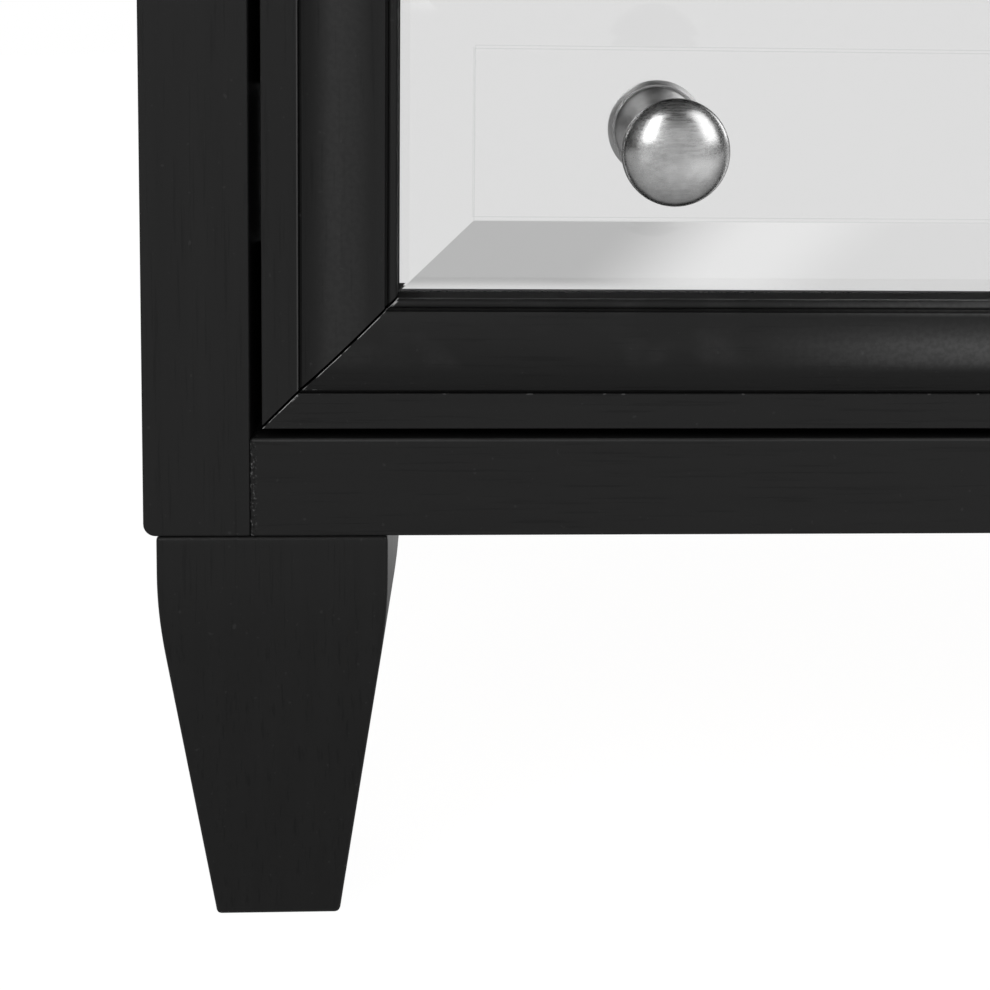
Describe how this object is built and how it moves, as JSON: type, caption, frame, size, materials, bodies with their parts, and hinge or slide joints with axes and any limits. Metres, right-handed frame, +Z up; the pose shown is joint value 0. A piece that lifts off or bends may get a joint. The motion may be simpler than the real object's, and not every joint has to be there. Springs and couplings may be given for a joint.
{
  "type": "display showcase cabinet",
  "caption": "Tall painted showcase on tapered legs with a bevelled mirror drawer, a glazed door and sides, glass shelves and a mirrored back.",
  "frame": {"origin": "middle of the whole part's box, on the floor under the legs", "axes": "+Z up, -Y towards the drawer and door fronts, +X to the right seen from the front"},
  "size_m": [0.584, 0.4068, 1.4857],
  "materials": {
    "black_paint": "satin black paint over fine grained wood",
    "bare_wood": "bare wood and plywood, lightly lacquered",
    "mirror": "silvered glass",
    "clear_glass": "clear polished glass",
    "satin_nickel": "satin brushed nickel",
    "plated_steel": "nickel plated steel",
    "zinc_steel": "bright zinc plated steel",
    "white_plastic": "moulded plastic"
  },
  "bodies": {
    "case": {"leg_front_left": "black_paint", "leg_front_right": "black_paint", "leg_rear_left": "black_paint", "leg_rear_right": "black_paint", "post_front_left": "black_paint", "post_front_right": "black_paint", "post_rear_left": "black_paint", "post_rear_right": "black_paint", "base_rail_front": "black_paint", "mid_rail_front": "black_paint", "top_rail_front": "black_paint", "back_rails": "black_paint", "side_rails_left": "black_paint", "side_rails_right": "black_paint", "side_panels": "black_paint", "bottom_panel": "bare_wood", "deck_panel": "black_paint", "top_panel": "black_paint", "back_panel": "black_paint", "back_mirror": "mirror", "side_glass_left": "clear_glass", "side_glass_right": "clear_glass", "side_beads_left": "black_paint", "side_beads_right": "black_paint", "glass_shelves": "clear_glass", "shelf_pins": "plated_steel", "corner_blocks": "bare_wood", "leg_bolts": "zinc_steel", "back_screws": "zinc_steel", "runner_boards": "bare_wood", "slide_case_members": "zinc_steel", "hinge_case_leaves": "plated_steel", "hinge_pins": "plated_steel", "magnetic_catch": "white_plastic"},
    "drawer": {"slide_drawer_members": "zinc_steel", "drawer_mould_bottom": "black_paint", "drawer_mould_top": "black_paint", "drawer_mould_left": "black_paint", "drawer_mould_right": "black_paint", "drawer_mirror": "mirror", "mirror_backer": "bare_wood", "drawer_box_front": "bare_wood", "drawer_sides": "bare_wood", "drawer_box_back": "bare_wood", "drawer_bottom": "bare_wood", "drawer_knobs": "satin_nickel", "drawer_knob_screws": "zinc_steel"},
    "slide_middle_left": {"slide_middle_left": "zinc_steel"},
    "slide_middle_right": {"slide_middle_right": "zinc_steel"},
    "door": {"door_mould_bottom": "black_paint", "door_mould_top": "black_paint", "door_mould_left": "black_paint", "door_mould_right": "black_paint", "door_glass": "clear_glass", "door_beads": "black_paint", "door_knob": "satin_nickel", "door_knob_screw": "zinc_steel", "hinge_door_leaves": "plated_steel", "strike_plate": "zinc_steel"}
  },
  "joints": [
    {"name": "drawer_slide", "type": "slide", "parent": "case", "child": "drawer", "axis": [0, -1, 0], "range_m": [0, 0.25]},
    {"name": "slide_left", "type": "slide", "parent": "case", "child": "slide_middle_left", "axis": [0, -1, 0], "range_m": [0, 0.125]},
    {"name": "slide_right", "type": "slide", "parent": "case", "child": "slide_middle_right", "axis": [0, -1, 0], "range_m": [0, 0.125]},
    {"name": "door_hinge", "type": "hinge", "parent": "case", "child": "door", "pos_m": [0.24915, -0.18087, 0.8809], "axis": [0, 0, 1], "range_deg": [0, 165]}
  ],
  "couplings": [
    {"joint": "slide_left", "follows": "drawer_slide", "ratio": 0.5},
    {"joint": "slide_right", "follows": "drawer_slide", "ratio": 0.5}
  ]
}
